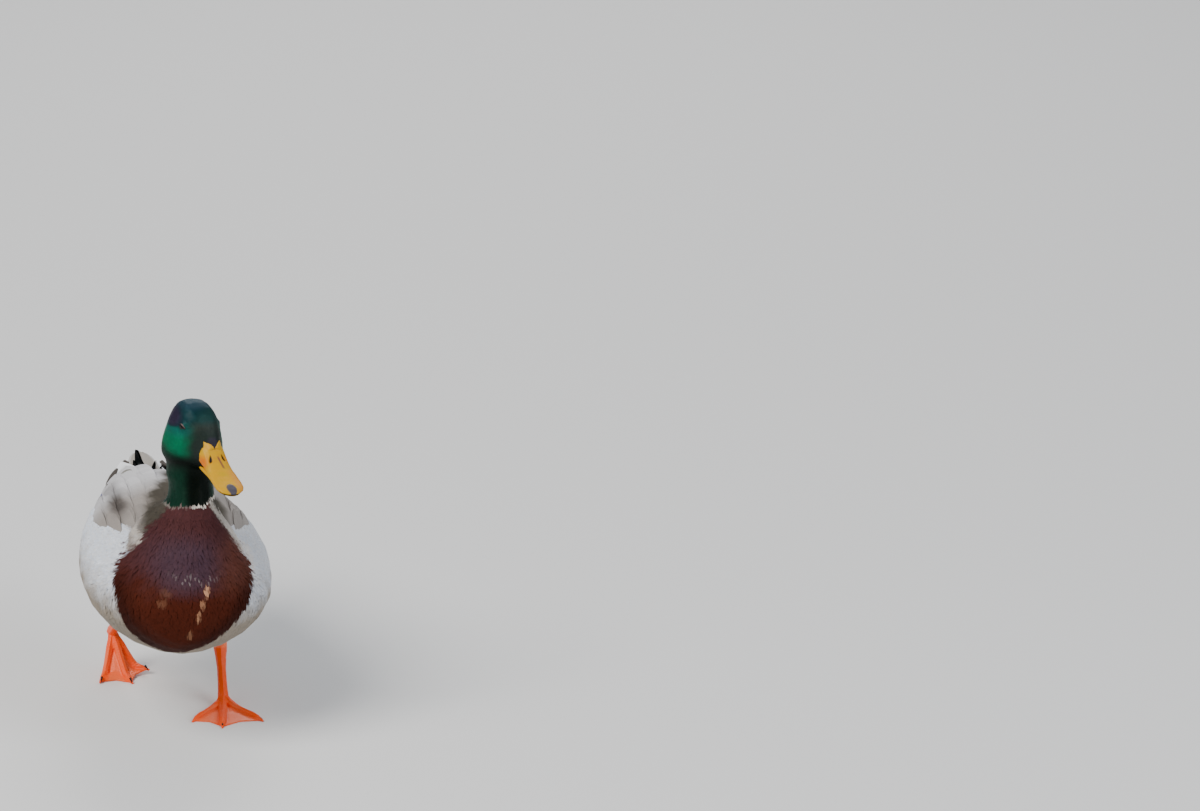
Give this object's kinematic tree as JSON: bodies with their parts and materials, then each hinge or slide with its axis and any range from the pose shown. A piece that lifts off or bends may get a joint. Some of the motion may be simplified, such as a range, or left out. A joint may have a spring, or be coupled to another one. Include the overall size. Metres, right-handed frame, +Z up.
{
  "type": "duck",
  "caption": "Still life-size drake mallard, walking with its left foot flat, right heel raised and head turned to its left.",
  "frame": {"origin": "on the ground, under the middle of the bird's bounding box", "axes": "the bird faces -Y, its left side is +X, and +Z is up"},
  "size_m": [0.15, 0.3498, 0.2788],
  "materials": {
    "breast": "chestnut breast feathers, paler flanks and belly",
    "neck": "dark green feathers",
    "head": "glossy green feathers",
    "eye": "dark wet eye",
    "bill": "smooth yellow horn",
    "wing": "grey and brown wing feathers",
    "tail": "white tail feathers",
    "curls": "glossy black curled feathers",
    "thigh": "pale grey short feathers",
    "leg": "orange scaly skin"
  },
  "bodies": {
    "root": {"trunk": "breast", "neck": "neck", "head": "head", "eye_left": "eye", "eye_right": "eye", "bill_upper": "bill", "bill_lower": "bill", "wing_left": "wing", "wing_right": "wing", "tail": "tail", "tail_curls": "curls", "thigh_left": "thigh", "thigh_right": "thigh", "shank_left": "leg", "shank_right": "leg", "foot_left": "leg", "foot_right": "leg", "hind_toe_left": "leg", "hind_toe_right": "leg"}
  },
  "joints": []
}
